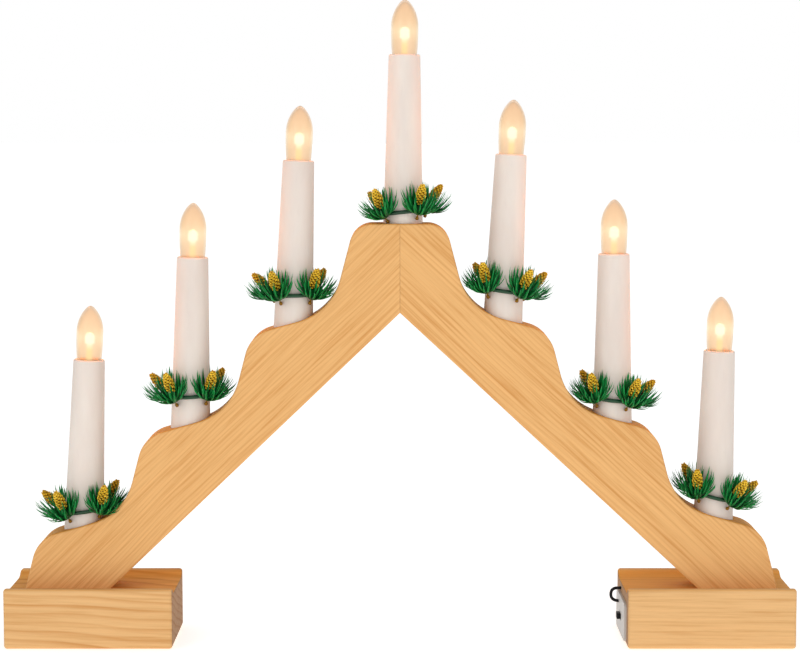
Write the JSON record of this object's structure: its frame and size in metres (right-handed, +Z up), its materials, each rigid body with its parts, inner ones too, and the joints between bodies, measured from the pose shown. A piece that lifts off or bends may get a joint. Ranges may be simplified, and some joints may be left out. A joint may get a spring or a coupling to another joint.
{
  "type": "candle arch",
  "caption": "Stepped wooden arch standing on wooden feet, carrying electric candles with pull-out flame bulbs and pine rings, with a battery holder in a foot.",
  "frame": {"origin": "on the table, under the middle of the arch, half way between the outer ends of the feet", "axes": "+X along the arch towards the foot with the battery holder, -Y towards the viewer, +Z up"},
  "size_m": [0.4, 0.055, 0.3264],
  "materials": {
    "arm_pine": "satin, straight grain",
    "foot_pine": "satin, wide grain",
    "beech": "raw",
    "ivory_tube": "satin",
    "clear_flame": "clear",
    "bulb_base": "lit from inside",
    "ring_wire": "satin",
    "needle_green": "glossy",
    "gold": "gold lacquer",
    "socket": "matte",
    "lead": "satin",
    "steel": "zinc plated",
    "holder": "satin",
    "cell": "lacquered",
    "slider": "satin"
  },
  "bodies": {
    "arch": {"left_arm": "arm_pine", "right_arm": "arm_pine", "mitre_dowels": "beech", "left_foot": "foot_pine", "right_foot": "foot_pine", "foot_screws": "steel", "lamp_sockets": "socket", "lamp_leads": "lead", "left_arm_wire": "lead", "right_arm_wire": "lead", "wire_joint": "socket", "battery_lead": "lead", "candle_tube_1": "ivory_tube", "candle_tube_2": "ivory_tube", "candle_tube_3": "ivory_tube", "candle_tube_4": "ivory_tube", "candle_tube_5": "ivory_tube", "candle_tube_6": "ivory_tube", "candle_tube_7": "ivory_tube"},
    "bulb_1": {"flame_bulb_1": "clear_flame", "bulb_base_1": "bulb_base"},
    "bulb_2": {"flame_bulb_2": "clear_flame", "bulb_base_2": "bulb_base"},
    "bulb_3": {"flame_bulb_3": "clear_flame", "bulb_base_3": "bulb_base"},
    "bulb_4": {"flame_bulb_4": "clear_flame", "bulb_base_4": "bulb_base"},
    "bulb_5": {"flame_bulb_5": "clear_flame", "bulb_base_5": "bulb_base"},
    "bulb_6": {"flame_bulb_6": "clear_flame", "bulb_base_6": "bulb_base"},
    "bulb_7": {"flame_bulb_7": "clear_flame", "bulb_base_7": "bulb_base"},
    "candle_ring_1": {"garland_ring_1": "ring_wire", "garland_sprigs_1": "needle_green", "garland_cones_1": "gold"},
    "candle_ring_2": {"garland_ring_2": "ring_wire", "garland_sprigs_2": "needle_green", "garland_cones_2": "gold"},
    "candle_ring_3": {"garland_ring_3": "ring_wire", "garland_sprigs_3": "needle_green", "garland_cones_3": "gold"},
    "candle_ring_4": {"garland_ring_4": "ring_wire", "garland_sprigs_4": "needle_green", "garland_cones_4": "gold"},
    "candle_ring_5": {"garland_ring_5": "ring_wire", "garland_sprigs_5": "needle_green", "garland_cones_5": "gold"},
    "candle_ring_6": {"garland_ring_6": "ring_wire", "garland_sprigs_6": "needle_green", "garland_cones_6": "gold"},
    "candle_ring_7": {"garland_ring_7": "ring_wire", "garland_sprigs_7": "needle_green", "garland_cones_7": "gold"},
    "battery_holder": {"battery_box": "holder", "battery_lid": "holder", "battery_cells": "cell", "battery_contacts": "steel"},
    "switch": {"switch_slider": "slider"}
  },
  "joints": [
    {"name": "bulb_1_pull", "type": "slide", "parent": "arch", "child": "bulb_1", "axis": [0.0427, 0, 0.9991], "range_m": [0, 0.02]},
    {"name": "bulb_2_pull", "type": "slide", "parent": "arch", "child": "bulb_2", "axis": [0.0209, 0, 0.9998], "range_m": [0, 0.02]},
    {"name": "bulb_3_pull", "type": "slide", "parent": "arch", "child": "bulb_3", "axis": [0.0358, 0, 0.9994], "range_m": [0, 0.02]},
    {"name": "bulb_4_pull", "type": "slide", "parent": "arch", "child": "bulb_4", "axis": [0.0087, 0, 1], "range_m": [0, 0.02]},
    {"name": "bulb_5_pull", "type": "slide", "parent": "arch", "child": "bulb_5", "axis": [0.0454, 0, 0.999], "range_m": [0, 0.02]},
    {"name": "bulb_6_pull", "type": "slide", "parent": "arch", "child": "bulb_6", "axis": [0.0017, 0, 1], "range_m": [0, 0.02]},
    {"name": "bulb_7_pull", "type": "slide", "parent": "arch", "child": "bulb_7", "axis": [0.0236, 0, 0.9997], "range_m": [0, 0.02]},
    {"name": "candle_ring_1_lift", "type": "slide", "parent": "arch", "child": "candle_ring_1", "axis": [0.0427, 0, 0.9991], "range_m": [0, 0.11]},
    {"name": "candle_ring_2_lift", "type": "slide", "parent": "arch", "child": "candle_ring_2", "axis": [0.0209, 0, 0.9998], "range_m": [0, 0.11]},
    {"name": "candle_ring_3_lift", "type": "slide", "parent": "arch", "child": "candle_ring_3", "axis": [0.0358, 0, 0.9994], "range_m": [0, 0.11]},
    {"name": "candle_ring_4_lift", "type": "slide", "parent": "arch", "child": "candle_ring_4", "axis": [0.0087, 0, 1], "range_m": [0, 0.11]},
    {"name": "candle_ring_5_lift", "type": "slide", "parent": "arch", "child": "candle_ring_5", "axis": [0.0454, 0, 0.999], "range_m": [0, 0.11]},
    {"name": "candle_ring_6_lift", "type": "slide", "parent": "arch", "child": "candle_ring_6", "axis": [0.0017, 0, 1], "range_m": [0, 0.11]},
    {"name": "candle_ring_7_lift", "type": "slide", "parent": "arch", "child": "candle_ring_7", "axis": [0.0236, 0, 0.9997], "range_m": [0, 0.11]},
    {"name": "battery_holder_slide", "type": "slide", "parent": "arch", "child": "battery_holder", "axis": [-1, 0, 0], "range_m": [0, 0.06], "deforming": ["battery_lead"]},
    {"name": "switch_slide", "type": "slide", "parent": "battery_holder", "child": "switch", "axis": [0, -1, 0], "range_m": [0, 0.003]}
  ]
}
